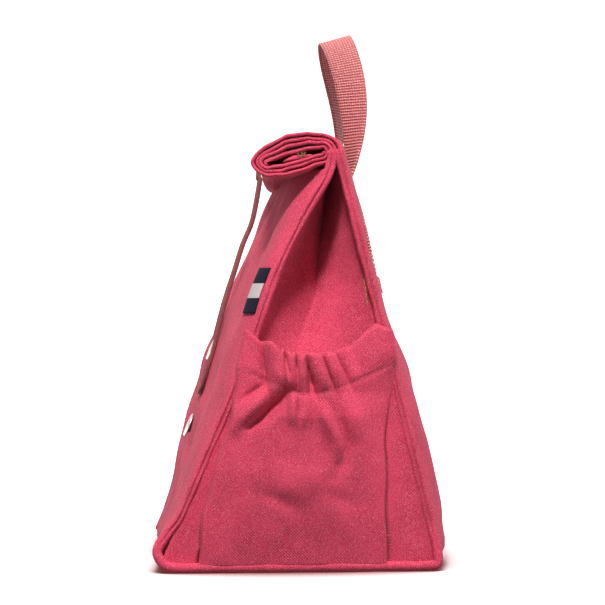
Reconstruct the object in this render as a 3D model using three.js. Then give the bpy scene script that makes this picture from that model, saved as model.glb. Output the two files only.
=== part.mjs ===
// Roll-top insulated lunch bag, modelled as its sewn pieces.
// Millimetres, +Z up. The front faces -Y, the width runs along X, and the origin is below the middle of the bag.
import * as THREE from 'three';
import { mergeVertices } from 'three/addons/utils/BufferGeometryUtils.js';

// Cloth and padding thicknesses
const CANVAS = 1.2;
const FOAM = 3.5;
const LINING = 0.6;
const WEBBING = 1.8;
const RIBBON = 0.5;
const ELASTIC = 1.0;

// Clearances between neighbouring pieces
const FIT = 0.3;
const LAYER_GAP = 0.8;
const METAL_GAP = 0.5;

// The bag's body: a wedge that narrows from its base to its neck
const SEWN_WIDTH = 200;
const BASE_FRONT_Y = -82.93;
const BASE_BACK_Y = 78.07;
const NECK_HEIGHT = 217;
const NECK_FRONT_Y = 11.27;
const NECK_BACK_Y = 23.97;
const FRONT_TOP_Z = 209;
const BACK_TOP_Z = 218.6;

// How far the stuffed panels swell
const FRONT_SWELL = 17.5;
const FRONT_SWELL_LOW_Z = 5;
const FRONT_SWELL_HIGH_Z = 125;
const BACK_BELLY_SWELL = 13.4;
const BACK_NECK_SWELL = 6.4;
const BACK_BELLY_Z = 100;
const BACK_NECK_Z = 145;
const BACK_SWELL_LOW_Z = -10;
const BACK_SWELL_HIGH_Z = 35;
const SWELL_POWER = 5;

// Side gussets: flat below, folded inwards like a paper bag's above
const FOLD_START_Z = 125;
const FOLD_DEPTH = 45;
const GUSSET_TOP_Z = 207;
const PADDING_TOP_Z = 196;
const SIDE_PADDING_TOP_Z = 115;

// Rolled seam ridge round each side
const RIDGE_RADIUS = 2.2;
const RIDGE_CORNER = 12;
const RIDGE_TOP_Z = 213;

// Gathered side pockets
const POCKET_SWELL = 11;
const POCKET_TOP_Z = 119;
const POCKET_EAR_RISE = 13;
const POCKET_HEM_SHARE = 0.7;
const ELASTIC_HEIGHT = 14;
const ELASTIC_BELOW_HEM = 4;

// Rolled top
const ROLL_RADIUS = 11;
const ROLL_TILT = THREE.MathUtils.degToRad(14);
const ROLL_SHOULDER_Z = 232.5;
const ROLL_TURNS = 1.7;
const ROLL_TURN_GAP = 0.4;
const ROLL_FLAT_NEAR = 14.4;
const ROLL_FLAT_MIDDLE = 12;
const ROLL_FLAT_FAR = 5;

// Webbing carry handle
const WEB_WIDTH = 20;
const HANDLE_HALF_SPAN = 45;
const HANDLE_FOOT_Z = 218.6;
const HANDLE_CREST_Z = 303;
const HANDLE_CREST_Y = 26.57;
const HANDLE_BULGE = 3.5;
const HANDLE_RISE_POWER = 0.85;
const HANDLE_END_Z = 152;
const HANDLE_FOLD_HEIGHT = 9;

// Closure: cord loop, its sewn tab, and the two metal buttons
const CORD_DIAMETER = 2.6;
const CORD_ROOT_GAP = 0.8;
const CORD_ROLL_GAP = 0.9;
const CORD_HALF_SPREAD = 5.2;
const CORD_TAB_WIDTH = 22;
const CORD_TAB_HEIGHT = 22;
const CORD_TAB_THICKNESS = 3;
const BUTTON_RADIUS = 7;
const BUTTON_THICKNESS = 2;
const BUTTON_POST_RADIUS = 4;
const BUTTON_POST = 1.4;
const UPPER_BUTTON_Z = 119;
const LOWER_BUTTON_Z = 74;
const WASHER_RADIUS = 5;
const WASHER_THICKNESS = 1;

// Striped ribbon label sewn beside the front seam
const LABEL_WIDTH = 12;
const LABEL_LOW_Z = 141;
const LABEL_HIGH_Z = 166;
const LABEL_SEAM_MARGIN = 2;

// Grid steps of the cloth surfaces
const ACROSS = 12;
const UPWARDS = 9;
const ROW_HEIGHT = 18;
const ROLL_STEPS_PER_TURN = 16;
const ROLL_STATIONS = 4;
const HANDLE_STEPS = 28;
const RIDGE_STEPS = 36;
const CORD_STEPS = 60;
const TUBE_SIDES = 8;
const GUSSET_COLUMNS = 8;
const GUSSET_ROWS = 14;
const ROUND_SIDES = 16;

const HALF_WIDTH = SEWN_WIDTH / 2;
const { lerp, clamp, smoothstep } = THREE.MathUtils;

const bag = new THREE.Group();

const RED_CANVAS = { color: 0xc23a58, roughness: 0.95, metalness: 0 };
const WEB_ROSE = { color: 0xa9505a, roughness: 0.9, metalness: 0 };
const CORD_ROSE = { color: 0x8f3a44, roughness: 0.9, metalness: 0 };
const NAVY_RIBBON = { color: 0x232a4d, roughness: 0.8, metalness: 0 };
const NICKEL = { color: 0xb9b9b6, roughness: 0.35, metalness: 1 };
const FOAM_WHITE = { color: 0xe9e6df, roughness: 0.95, metalness: 0 };
const LINING_SILVER = { color: 0xc4c7c9, roughness: 0.45, metalness: 0.2 };
const ELASTIC_WHITE = { color: 0xdcd8d0, roughness: 0.9, metalness: 0 };

function place(name, geometry, finish) {
  const mesh = new THREE.Mesh(geometry, new THREE.MeshStandardMaterial(finish));
  mesh.name = name;
  bag.add(mesh);
  return mesh;
}

// Turns the faces outwards when the enclosed volume comes out negative
function facingOut(positions, triangles) {
  let volume = 0;
  for (const [a, b, c] of triangles) {
    volume += positions[a].dot(positions[b].clone().cross(positions[c]));
  }
  const ordered = volume < 0 ? triangles.map(([a, b, c]) => [a, c, b]) : triangles;
  const geometry = new THREE.BufferGeometry().setFromPoints(positions);
  geometry.setIndex(ordered.flat());
  geometry.computeVertexNormals();
  return geometry;
}

// A closed sheet between two surfaces that share one grid; s and t run from 0 to 1
function sheet(columns, rows, outer, inner) {
  const positions = [];
  for (const surface of [outer, inner]) {
    for (let j = 0; j <= rows; j += 1) {
      for (let i = 0; i <= columns; i += 1) {
        positions.push(surface(i / columns, j / rows));
      }
    }
  }
  const back = (columns + 1) * (rows + 1);
  const at = (i, j) => j * (columns + 1) + i;
  const triangles = [];
  const quad = (a, b, c, d) => triangles.push([a, b, c], [a, c, d]);
  for (let j = 0; j < rows; j += 1) {
    for (let i = 0; i < columns; i += 1) {
      quad(at(i, j), at(i + 1, j), at(i + 1, j + 1), at(i, j + 1));
      quad(back + at(i, j), back + at(i, j + 1), back + at(i + 1, j + 1), back + at(i + 1, j));
    }
  }
  for (let i = 0; i < columns; i += 1) {
    quad(at(i + 1, 0), at(i, 0), back + at(i, 0), back + at(i + 1, 0));
    quad(at(i, rows), at(i + 1, rows), back + at(i + 1, rows), back + at(i, rows));
  }
  for (let j = 0; j < rows; j += 1) {
    quad(at(0, j), at(0, j + 1), back + at(0, j + 1), back + at(0, j));
    quad(at(columns, j + 1), at(columns, j), back + at(columns, j), back + at(columns, j + 1));
  }
  return facingOut(positions, triangles);
}

// End faces of a solid, listed in the outline's own order when forward is true and against it otherwise
function capFaces(contour, forward) {
  const faces = THREE.ShapeUtils.triangulateShape(contour, []);
  const isStep = (from, to) => to === (from + 1) % contour.length;
  const follows = faces.some((face) => face.some((corner, k) => isStep(corner, face[(k + 1) % 3])));
  return follows === forward ? faces : faces.map(([a, b, c]) => [a, c, b]);
}

// A solid through a row of closed outlines with equal point counts, capped at both ends
function loft(outlines, flatten) {
  const count = outlines[0].length;
  const last = (outlines.length - 1) * count;
  const positions = outlines.flat();
  const triangles = [];
  for (let k = 0; k + 1 < outlines.length; k += 1) {
    for (let i = 0; i < count; i += 1) {
      const a = k * count + i;
      const b = k * count + ((i + 1) % count);
      triangles.push([a, b, b + count], [a, b + count, a + count]);
    }
  }
  triangles.push(...capFaces(flatten(outlines[0]), false));
  const endFaces = capFaces(flatten(outlines[outlines.length - 1]), true);
  triangles.push(...endFaces.map((face) => face.map((corner) => last + corner)));
  return facingOut(positions, triangles);
}

function tube(curve, radius, sides, steps) {
  const circle = new THREE.Shape();
  for (let i = 0; i < sides; i += 1) {
    const turn = (2 * Math.PI * i) / sides;
    const x = radius * Math.cos(turn);
    const y = radius * Math.sin(turn);
    if (i === 0) circle.moveTo(x, y);
    else circle.lineTo(x, y);
  }
  circle.closePath();
  const geometry = new THREE.ExtrudeGeometry(circle, { steps, extrudePath: curve, bevelEnabled: false });
  geometry.deleteAttribute('normal');
  geometry.deleteAttribute('uv');
  const merged = mergeVertices(geometry, 1e-4);
  merged.computeVertexNormals();
  return merged;
}

// Straight seam lines of the side view, and how the panels swell from them
const FRONT_SLOPE = (NECK_FRONT_Y - BASE_FRONT_Y) / NECK_HEIGHT;
const BACK_SLOPE = (NECK_BACK_Y - BASE_BACK_Y) / NECK_HEIGHT;
const FRONT_COS = 1 / Math.hypot(1, FRONT_SLOPE);
const BACK_COS = 1 / Math.hypot(1, BACK_SLOPE);
const frontLine = (z) => BASE_FRONT_Y + FRONT_SLOPE * z;
const backLine = (z) => BASE_BACK_Y + BACK_SLOPE * z;
const acrossSwell = (x) => 1 - Math.abs(x / HALF_WIDTH) ** SWELL_POWER;

function frontSwell(x, z) {
  return FRONT_SWELL * acrossSwell(x) * smoothstep(z, FRONT_SWELL_LOW_Z, FRONT_SWELL_HIGH_Z);
}

function backSwell(x, z) {
  const full = lerp(BACK_BELLY_SWELL, BACK_NECK_SWELL, smoothstep(z, BACK_BELLY_Z, BACK_NECK_Z));
  return full * acrossSwell(x) * smoothstep(z, BACK_SWELL_LOW_Z, BACK_SWELL_HIGH_Z);
}

// Depth is measured into the bag, square to the panel; a negative depth stands proud of it
const frontY = (x, z, depth) => frontLine(z) - frontSwell(x, z) + depth / FRONT_COS;
const backY = (x, z, depth) => backLine(z) + backSwell(x, z) - depth / BACK_COS;

// Depths of the layers below a panel's outer face
const FOAM_DEPTH = CANVAS + LAYER_GAP;
const LINING_DEPTH = FOAM_DEPTH + FOAM + LAYER_GAP;
const INSIDE_DEPTH = LINING_DEPTH + LINING;

// Half-width left between the side layers for the front, back and base padding
const SIDE_LAYERS = INSIDE_DEPTH + FIT;
const foldDepth = (z) => FOLD_DEPTH * clamp((z - FOLD_START_Z) / (GUSSET_TOP_Z - FOLD_START_Z), 0, 1);

function gussetHalfGap(z) {
  const front = frontLine(z) + (CANVAS + FIT) / FRONT_COS;
  const back = backLine(z) - (CANVAS + FIT) / BACK_COS;
  return { front, back, half: (back - front) / 2 };
}

// Cloth thickness measured along X on the folded gusset's slanted faces
const foldThickness = (z) => CANVAS * Math.hypot(1, foldDepth(z) / gussetHalfGap(z).half);
const paddingHalf = (z) => HALF_WIDTH - SIDE_LAYERS - foldDepth(z) - (foldThickness(z) - CANVAS);

// A layer of the front or back, between two depths, from one height to another.
// All layers share the same row heights, so that they nest.
function panelLayer(panelY, halfAt, lowZ, highZ, depth, thickness) {
  const rows = Math.ceil((highZ - lowZ) / ROW_HEIGHT);
  const point = (s, t, level) => {
    const z = Math.min(lowZ + ROW_HEIGHT * Math.round(t * rows), highZ);
    const x = halfAt(z) * Math.sin((s - 0.5) * Math.PI);
    return new THREE.Vector3(x, panelY(x, z, level), z);
  };
  return sheet(
    ACROSS,
    rows,
    (s, t) => point(s, t, depth),
    (s, t) => point(s, t, depth + thickness),
  );
}

const CANVAS_LOW_Z = CANVAS + FIT;
const PADDING_LOW_Z = CANVAS_LOW_Z;

function addPanel(side, panelY, topZ) {
  const canvas = panelLayer(panelY, () => HALF_WIDTH, CANVAS_LOW_Z, topZ, 0, CANVAS);
  const foam = panelLayer(panelY, paddingHalf, PADDING_LOW_Z, PADDING_TOP_Z, FOAM_DEPTH, FOAM);
  const lining = panelLayer(panelY, paddingHalf, PADDING_LOW_Z, PADDING_TOP_Z, LINING_DEPTH, LINING);
  place(`${side}_panel`, canvas, RED_CANVAS);
  place(`${side}_foam`, foam, FOAM_WHITE);
  place(`${side}_lining`, lining, LINING_SILVER);
}

addPanel('front', frontY, FRONT_TOP_Z);
addPanel('back', backY, BACK_TOP_Z);

// Base: a full canvas bottom, with foam and lining inside the walls
function addBaseLayer(name, lowZ, thickness, halfX, frontAt, backAt, finish) {
  const point = (s, t, z) => {
    return new THREE.Vector3(lerp(-halfX, halfX, s), lerp(frontAt(z), backAt(z), t), z);
  };
  const geometry = sheet(
    2,
    2,
    (s, t) => point(s, t, lowZ + thickness),
    (s, t) => point(s, t, lowZ),
  );
  place(name, geometry, finish);
}

const baseFront = (z) => frontLine(z) + (INSIDE_DEPTH + FIT) / FRONT_COS;
const baseBack = (z) => backLine(z) - (INSIDE_DEPTH + FIT) / BACK_COS;
const BASE_FOAM_Z = CANVAS + FIT;
const BASE_LINING_Z = BASE_FOAM_Z + FOAM + FIT;
const BASE_HALF = HALF_WIDTH - SIDE_LAYERS;
addBaseLayer('base_panel', 0, CANVAS, HALF_WIDTH, () => frontLine(0), () => backLine(0), RED_CANVAS);
addBaseLayer('base_foam', BASE_FOAM_Z, FOAM, BASE_HALF, baseFront, baseBack, FOAM_WHITE);
addBaseLayer('base_lining', BASE_LINING_Z, LINING, BASE_HALF, baseFront, baseBack, LINING_SILVER);

// Side gussets with their padding; side is +1 on the right and -1 on the left
function addGusset(name, side) {
  const spanPoint = (s, z, x) => {
    const gap = gussetHalfGap(z);
    return new THREE.Vector3(side * x, lerp(gap.front, gap.back, s), z);
  };
  const folded = (s, z) => HALF_WIDTH - foldDepth(z) * (1 - Math.abs(2 * s - 1));
  const canvasZ = (t) => lerp(CANVAS_LOW_Z, GUSSET_TOP_Z, t);
  const canvas = sheet(
    GUSSET_COLUMNS,
    GUSSET_ROWS,
    (s, t) => spanPoint(s, canvasZ(t), folded(s, canvasZ(t))),
    (s, t) => spanPoint(s, canvasZ(t), folded(s, canvasZ(t)) - foldThickness(canvasZ(t))),
  );
  place(`${name}_side_gusset`, canvas, RED_CANVAS);

  const flatLayer = (depth, thickness) => {
    const layerZ = (t) => lerp(PADDING_LOW_Z, SIDE_PADDING_TOP_Z, t);
    return sheet(
      2,
      2,
      (s, t) => spanPoint(s, layerZ(t), HALF_WIDTH - depth),
      (s, t) => spanPoint(s, layerZ(t), HALF_WIDTH - depth - thickness),
    );
  };
  place(`${name}_side_foam`, flatLayer(FOAM_DEPTH, FOAM), FOAM_WHITE);
  place(`${name}_side_lining`, flatLayer(LINING_DEPTH, LINING), LINING_SILVER);
}

// Rolled seam ridge: down the front seam, round the base corners and up the back seam
function addRidge(name, side) {
  const x = side * (HALF_WIDTH + FIT + RIDGE_RADIUS);
  const lowZ = RIDGE_RADIUS + FIT;
  const along = (line, inset, z) => new THREE.Vector3(x, line(z) + inset, z);
  const frontInset = RIDGE_RADIUS / FRONT_COS;
  const backInset = -RIDGE_RADIUS / BACK_COS;
  const frontCorner = along(frontLine, frontInset, lowZ);
  const backCorner = along(backLine, backInset, lowZ);
  const frontBend = along(frontLine, frontInset, lowZ + RIDGE_CORNER);
  const backBend = along(backLine, backInset, lowZ + RIDGE_CORNER);
  const frontFoot = frontCorner.clone().add(new THREE.Vector3(0, RIDGE_CORNER, 0));
  const backFoot = backCorner.clone().add(new THREE.Vector3(0, -RIDGE_CORNER, 0));
  const path = new THREE.CurvePath();
  path.add(new THREE.LineCurve3(along(frontLine, frontInset, RIDGE_TOP_Z), frontBend));
  path.add(new THREE.QuadraticBezierCurve3(frontBend, frontCorner, frontFoot));
  path.add(new THREE.LineCurve3(frontFoot, backFoot));
  path.add(new THREE.QuadraticBezierCurve3(backFoot, backCorner, backBend));
  path.add(new THREE.LineCurve3(backBend, along(backLine, backInset, RIDGE_TOP_Z)));
  place(`${name}_seam_ridge`, tube(path, RIDGE_RADIUS, TUBE_SIDES, RIDGE_STEPS), RED_CANVAS);
}

// Gathered pocket: sewn to the gusset along both sides and the bottom, open at the hem
function addPocket(name, side) {
  const margin = 2 * RIDGE_RADIUS + FIT + CANVAS;
  const lowZ = margin;
  const topZ = (s) => POCKET_TOP_Z + POCKET_EAR_RISE * Math.abs(2 * s - 1) ** 3;
  const swell = (s, share) => {
    const rise = smoothstep(share, 0, 0.3) * lerp(1, POCKET_HEM_SHARE, smoothstep(share, 0.55, 0.95));
    return POCKET_SWELL * rise * Math.sin(Math.PI * s) ** 0.6;
  };
  // The bottom corners step in round the ridge's bends
  const sideMargin = (z) => margin + (RIDGE_CORNER / 2) * (1 - smoothstep(z, lowZ, lowZ + RIDGE_CORNER));
  const point = (s, z, lift) => {
    const front = frontLine(z) + sideMargin(z) / FRONT_COS;
    const back = backLine(z) - sideMargin(z) / BACK_COS;
    const share = (z - lowZ) / (topZ(s) - lowZ);
    const x = HALF_WIDTH + FIT + swell(s, share) + lift;
    return new THREE.Vector3(side * x, lerp(front, back, s), z);
  };
  const clothZ = (s, t) => lerp(lowZ, topZ(s), t);
  const cloth = sheet(
    ACROSS,
    UPWARDS,
    (s, t) => point(s, clothZ(s, t), CANVAS),
    (s, t) => point(s, clothZ(s, t), 0),
  );
  place(`${name}_side_pocket`, cloth, RED_CANVAS);

  // The elastic lies in the hem, a little in from the sewn ends
  const inset = (s) => lerp(0.14, 0.86, s);
  const bandZ = (s, t) => topZ(s) - ELASTIC_BELOW_HEM - ELASTIC_HEIGHT * (1 - t);
  const elastic = sheet(
    ACROSS,
    2,
    (s, t) => point(inset(s), bandZ(inset(s), t), -LAYER_GAP),
    (s, t) => point(inset(s), bandZ(inset(s), t), -LAYER_GAP - ELASTIC),
  );
  place(`${name}_pocket_elastic`, elastic, ELASTIC_WHITE);
}

for (const [name, side] of [['right', 1], ['left', -1]]) {
  addGusset(name, side);
  addRidge(name, side);
  addPocket(name, side);
}

// Rolled top: three layers wound together on a flattened spiral, flatter at the right end than at the left
const ROLL_PITCH = 2 * CANVAS + LINING + 2 * FIT + ROLL_TURN_GAP;

function rollFlat(x) {
  const share = x / HALF_WIDTH;
  const slant = (ROLL_FLAT_NEAR - ROLL_FLAT_FAR) / 2;
  const bow = (ROLL_FLAT_NEAR + ROLL_FLAT_FAR) / 2 - ROLL_FLAT_MIDDLE;
  return ROLL_FLAT_MIDDLE + slant * share + bow * share * share;
}

function rollPoint(x, turn, depth) {
  const radius = ROLL_RADIUS - ROLL_PITCH * (turn / (2 * Math.PI)) - depth;
  const flat = rollFlat(x);
  const along = radius * Math.cos(turn) + flat * clamp(4 * Math.cos(turn), -1, 1) - (ROLL_RADIUS + flat);
  const up = radius * Math.sin(turn);
  const cos = Math.cos(ROLL_TILT);
  const sin = Math.sin(ROLL_TILT);
  return new THREE.Vector3(
    x,
    backY(x, ROLL_SHOULDER_Z, 0) + along * cos - up * sin,
    ROLL_SHOULDER_Z + along * sin + up * cos,
  );
}

function addRollLayer(name, depth, thickness, finish) {
  const tailZ = BACK_TOP_Z + FIT;
  const steps = Math.round(ROLL_TURNS * ROLL_STEPS_PER_TURN);
  const run = (x, level) => {
    const points = [new THREE.Vector3(x, backY(x, tailZ, level), tailZ)];
    for (let k = 0; k <= steps; k += 1) {
      points.push(rollPoint(x, (2 * Math.PI * k) / ROLL_STEPS_PER_TURN, level));
    }
    return points;
  };
  const outlines = [];
  for (let k = 0; k <= ROLL_STATIONS; k += 1) {
    const x = lerp(-HALF_WIDTH, HALF_WIDTH, k / ROLL_STATIONS);
    outlines.push([...run(x, depth), ...run(x, depth + thickness).reverse()]);
  }
  const flatten = (outline) => outline.map((p) => new THREE.Vector2(p.y, p.z));
  place(name, loft(outlines, flatten), finish);
}

addRollLayer('roll_back_canvas', 0, CANVAS, RED_CANVAS);
addRollLayer('roll_lining', CANVAS + FIT, LINING, LINING_SILVER);
addRollLayer('roll_front_canvas', CANVAS + LINING + 2 * FIT, CANVAS, RED_CANVAS);

// Handle: one webbing arch that twists from flat on the back panel to edge-on at its crest
const HANDLE_FOOT_Y = backY(HANDLE_HALF_SPAN, HANDLE_FOOT_Z, -(FIT + WEBBING / 2));

function handleSection(share) {
  const turn = Math.PI * share;
  const rise = Math.sin(turn) ** HANDLE_RISE_POWER;
  const centre = new THREE.Vector3(
    HANDLE_HALF_SPAN * Math.cos(turn),
    lerp(HANDLE_FOOT_Y, HANDLE_CREST_Y, rise * rise) + HANDLE_BULGE * Math.sin(Math.PI * rise),
    lerp(HANDLE_FOOT_Z + FIT, HANDLE_CREST_Z - WEBBING / 2, rise),
  );
  const side = Math.sign(0.5 - share) || 1;
  const twist = (Math.PI / 2) * rise ** HANDLE_RISE_POWER;
  const width = new THREE.Vector3(side * Math.cos(twist), Math.sin(twist), 0);
  return { centre, width };
}

function handleGeometry() {
  const outlines = [];
  const sections = [];
  for (let k = 0; k <= HANDLE_STEPS; k += 1) sections.push(handleSection(k / HANDLE_STEPS));
  for (let k = 0; k <= HANDLE_STEPS; k += 1) {
    const before = sections[Math.max(k - 1, 0)].centre;
    const after = sections[Math.min(k + 1, HANDLE_STEPS)].centre;
    const ends = k === 0 || k === HANDLE_STEPS;
    const away = after.clone().sub(before);
    const tangent = ends ? new THREE.Vector3(0, 0, Math.sign(away.z)) : away.normalize();
    const { centre, width } = sections[k];
    const level = width.clone().addScaledVector(tangent, -width.dot(tangent)).normalize();
    const normal = tangent.clone().cross(level);
    const corner = (a, b) => {
      return centre.clone().addScaledVector(level, (a * WEB_WIDTH) / 2).addScaledVector(normal, (b * WEBBING) / 2);
    };
    outlines.push([corner(-1, -1), corner(1, -1), corner(1, 1), corner(-1, 1)]);
  }
  return loft(outlines, (outline) => outline.map((p) => new THREE.Vector2(p.x, p.y)));
}

place('handle_webbing', handleGeometry(), WEB_ROSE);

// The handle's two ends, sewn flat to the back panel, with the cut end folded under
function addHandleEnd(name, side) {
  const topZ = HANDLE_FOOT_Z;
  const foldZ = HANDLE_END_Z + HANDLE_FOLD_HEIGHT;
  const heights = [HANDLE_END_Z, foldZ, foldZ + FIT, lerp(foldZ, topZ, 0.5), topZ];
  const rows = heights.length - 1;
  const point = (s, t, proud) => {
    const z = heights[Math.round(t * rows)];
    const x = side * HANDLE_HALF_SPAN + lerp(-WEB_WIDTH / 2, WEB_WIDTH / 2, s);
    return new THREE.Vector3(x, backY(x, z, -(FIT + proud)), z);
  };
  const doubled = (t) => (Math.round(t * rows) < 2 ? 2 * WEBBING : WEBBING);
  const geometry = sheet(
    2,
    rows,
    (s, t) => point(s, t, doubled(t)),
    (s, t) => point(s, t, 0),
  );
  place(name, geometry, WEB_ROSE);
}

addHandleEnd('right_handle_end', 1);
addHandleEnd('left_handle_end', -1);

// Cord tab: a folded piece of webbing on the back panel, from whose top edge the cord comes out
const CORD_ROOT_Z = BACK_TOP_Z + CORD_ROOT_GAP;
const CORD_ROOT_Y = backY(0, BACK_TOP_Z, -(FIT + CORD_TAB_THICKNESS / 2));

function cordTab() {
  const point = (s, t, proud) => {
    const x = lerp(-CORD_TAB_WIDTH / 2, CORD_TAB_WIDTH / 2, s);
    const z = lerp(BACK_TOP_Z - CORD_TAB_HEIGHT, BACK_TOP_Z, t);
    return new THREE.Vector3(x, backY(x, z, -(FIT + proud)), z);
  };
  return sheet(
    2,
    2,
    (s, t) => point(s, t, CORD_TAB_THICKNESS),
    (s, t) => point(s, t, 0),
  );
}

place('cord_tab', cordTab(), WEB_ROSE);

// Closure cord: up from the tab, over the roll, down the front and round below the upper button.
// The right-hand half comes first, and the left half mirrors it.
const CORD_ROLL_TURNS = [0.1, 0.55, 1.0, 1.32, 1.57, 1.82, 2.3, 2.8, 3.2];

// Points down the front: half-spread, height and how far the cord's middle hangs off the panel
const CORD_FALL = [
  [5.9, 196, 8.2],
  [6.6, 181, 6.0],
  [7.2, 166, 4.6],
  [8.2, 146, 3.3],
  [9.0, 119, 2.4],
  [8.4, 107, 2.3],
  [6.0, 98.5, 2.3],
  [2.6, 94.6, 2.3],
];

function cordCurve() {
  const clearance = CORD_DIAMETER / 2 + CORD_ROLL_GAP;
  const right = [
    new THREE.Vector3(CORD_HALF_SPREAD, CORD_ROOT_Y, CORD_ROOT_Z),
    new THREE.Vector3(CORD_HALF_SPREAD, CORD_ROOT_Y, lerp(CORD_ROOT_Z, ROLL_SHOULDER_Z, 1 / 3)),
  ];
  for (const turn of CORD_ROLL_TURNS) right.push(rollPoint(CORD_HALF_SPREAD, turn, -clearance));
  for (const [x, z, hang] of CORD_FALL) right.push(new THREE.Vector3(x, frontY(x, z, 0) - hang, z));
  const left = right.map((p) => new THREE.Vector3(-p.x, p.y, p.z)).reverse();
  return new THREE.CatmullRomCurve3([...right, ...left], false, 'centripetal');
}

place('closure_cord', tube(cordCurve(), CORD_DIAMETER / 2, TUBE_SIDES, CORD_STEPS), CORD_ROSE);

// Metal buttons on the front's centre line, each with a washer inside the lining
function onFront(z, depth) {
  const slope = (frontY(0, z + 1, depth) - frontY(0, z - 1, depth)) / 2;
  const frame = new THREE.Group();
  frame.position.set(0, frontY(0, z, depth), z);
  frame.rotation.x = Math.PI / 2 - Math.atan(slope);
  return frame;
}

function addButton(name, z) {
  const capLow = METAL_GAP + BUTTON_POST;
  const capHigh = capLow + BUTTON_THICKNESS;
  const profile = [
    [0, METAL_GAP],
    [BUTTON_POST_RADIUS, METAL_GAP],
    [BUTTON_POST_RADIUS, capLow],
    [BUTTON_RADIUS, capLow],
    [BUTTON_RADIUS, capLow + BUTTON_THICKNESS / 2],
    [BUTTON_RADIUS - BUTTON_THICKNESS / 2, capHigh],
    [0, capHigh],
  ].map(([radius, height]) => new THREE.Vector2(radius, height));
  const button = new THREE.LatheGeometry(profile, ROUND_SIDES);
  button.rotateX(Math.PI / 2);
  const outside = onFront(z, 0);
  const cap = place(`${name}_button`, button, NICKEL);
  outside.add(cap);
  bag.add(outside);

  const washer = new THREE.CylinderGeometry(WASHER_RADIUS, WASHER_RADIUS, WASHER_THICKNESS, ROUND_SIDES);
  washer.rotateX(Math.PI / 2);
  washer.translate(0, 0, -(METAL_GAP + WASHER_THICKNESS / 2));
  const inside = onFront(z, INSIDE_DEPTH);
  const ring = place(`${name}_button_washer`, washer, NICKEL);
  inside.add(ring);
  bag.add(inside);
}

addButton('upper', UPPER_BUTTON_Z);
addButton('lower', LOWER_BUTTON_Z);

// Striped ribbon label, flat on the swollen edge of the front panel
function labelGeometry() {
  const highX = HALF_WIDTH - LABEL_SEAM_MARGIN;
  const point = (s, t, proud) => {
    const x = lerp(highX - LABEL_WIDTH, highX, s);
    const z = lerp(LABEL_LOW_Z, LABEL_HIGH_Z, t);
    return new THREE.Vector3(x, frontY(x, z, -(LAYER_GAP + proud)), z);
  };
  return sheet(
    4,
    3,
    (s, t) => point(s, t, RIBBON),
    (s, t) => point(s, t, 0),
  );
}

place('striped_label', labelGeometry(), NAVY_RIBBON);

export default bag;
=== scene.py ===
"""Roll-top lunch bag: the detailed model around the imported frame, lit and seen as in the photo."""
import math
import bpy
import numpy as np
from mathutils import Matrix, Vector


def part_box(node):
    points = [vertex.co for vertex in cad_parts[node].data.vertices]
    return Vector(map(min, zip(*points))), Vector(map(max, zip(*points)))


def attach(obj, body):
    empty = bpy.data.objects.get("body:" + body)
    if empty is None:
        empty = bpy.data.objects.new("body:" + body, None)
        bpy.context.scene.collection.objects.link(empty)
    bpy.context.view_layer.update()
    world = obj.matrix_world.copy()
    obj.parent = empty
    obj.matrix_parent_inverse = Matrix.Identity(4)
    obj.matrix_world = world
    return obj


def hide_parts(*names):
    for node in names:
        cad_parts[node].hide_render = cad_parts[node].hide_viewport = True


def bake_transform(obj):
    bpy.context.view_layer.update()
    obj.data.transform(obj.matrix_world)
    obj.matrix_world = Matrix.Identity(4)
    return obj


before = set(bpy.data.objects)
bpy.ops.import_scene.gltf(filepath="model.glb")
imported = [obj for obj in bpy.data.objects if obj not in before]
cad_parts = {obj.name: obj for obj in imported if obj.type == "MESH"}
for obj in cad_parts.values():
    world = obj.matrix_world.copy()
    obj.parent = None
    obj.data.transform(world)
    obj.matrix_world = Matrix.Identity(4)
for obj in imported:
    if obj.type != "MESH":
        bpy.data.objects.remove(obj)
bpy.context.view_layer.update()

scene = bpy.context.scene
MM = 0.001
TURN = 2 * math.pi
SIDE_NAMES = {1: "right", -1: "left"}

# Sizes in millimetres
base_low, base_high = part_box("base_panel")
HALF_WIDTH = base_high[0] / MM
BASE_FRONT_Y = base_low[1] / MM
BASE_BACK_Y = base_high[1] / MM
SHIFT = (BASE_FRONT_Y + BASE_BACK_Y) / 2
FRONT_SLOPE = 0.4341
FRONT_COS = 0.9173
FRONT_SIN = 0.3982
BACK_SLOPE = 0.2493
BACK_COS = 0.9703
BACK_SIN = 0.24
FRONT_PUFF = 17.5
BACK_BELLY = 13.4
BACK_NECK = 6.4
CORNER = 14.5
CLOTH = 1.3
PLY = 1.9
PLY_GAP = 0.35
ROLL_LINING = 0.4
ROLL_PITCH = 4.75
ROLL_SHOULDER_Z = 232.5
ROLL_RADIUS = 11.6
ROLL_TILT = math.radians(14)
WEB_WIDTH = 18.6
WEB_THICK = 1.8
RIB_PITCH = 1.75
TICK_PITCH = 1.55
HANDLE_X = 45.0
CORD_RADIUS = 1.3
BUTTON_Z = (119.0, 74.0)


def smooth(low, high, value):
    t = np.clip((value - low) / (high - low), 0, 1)
    return t * t * (3 - 2 * t)


def mix(a, b, t):
    return a + (b - a) * t


def bell(value, middle, width):
    return np.exp(-(((value - middle) / width) ** 2))


def circle(count):
    """Angles spaced evenly round a full turn."""
    return np.linspace(0, TURN, count, endpoint=False)


def together(*parts):
    """Coordinates of matching shapes, joined into points."""
    return np.stack(np.broadcast_arrays(*parts), -1)


def lumps(a, b, size, seed, waves=8):
    """Soft, repeatable unevenness of about that size over two coordinates."""
    rng = np.random.default_rng(seed)
    total = np.zeros(np.broadcast(a, b).shape)
    for _ in range(waves):
        angle, phase = rng.uniform(0, TURN, 2)
        k = TURN / (size * rng.uniform(0.7, 1.5))
        total = total + np.sin(k * (a * math.cos(angle) + b * math.sin(angle)) + phase)
    return total / math.sqrt(waves)


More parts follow.
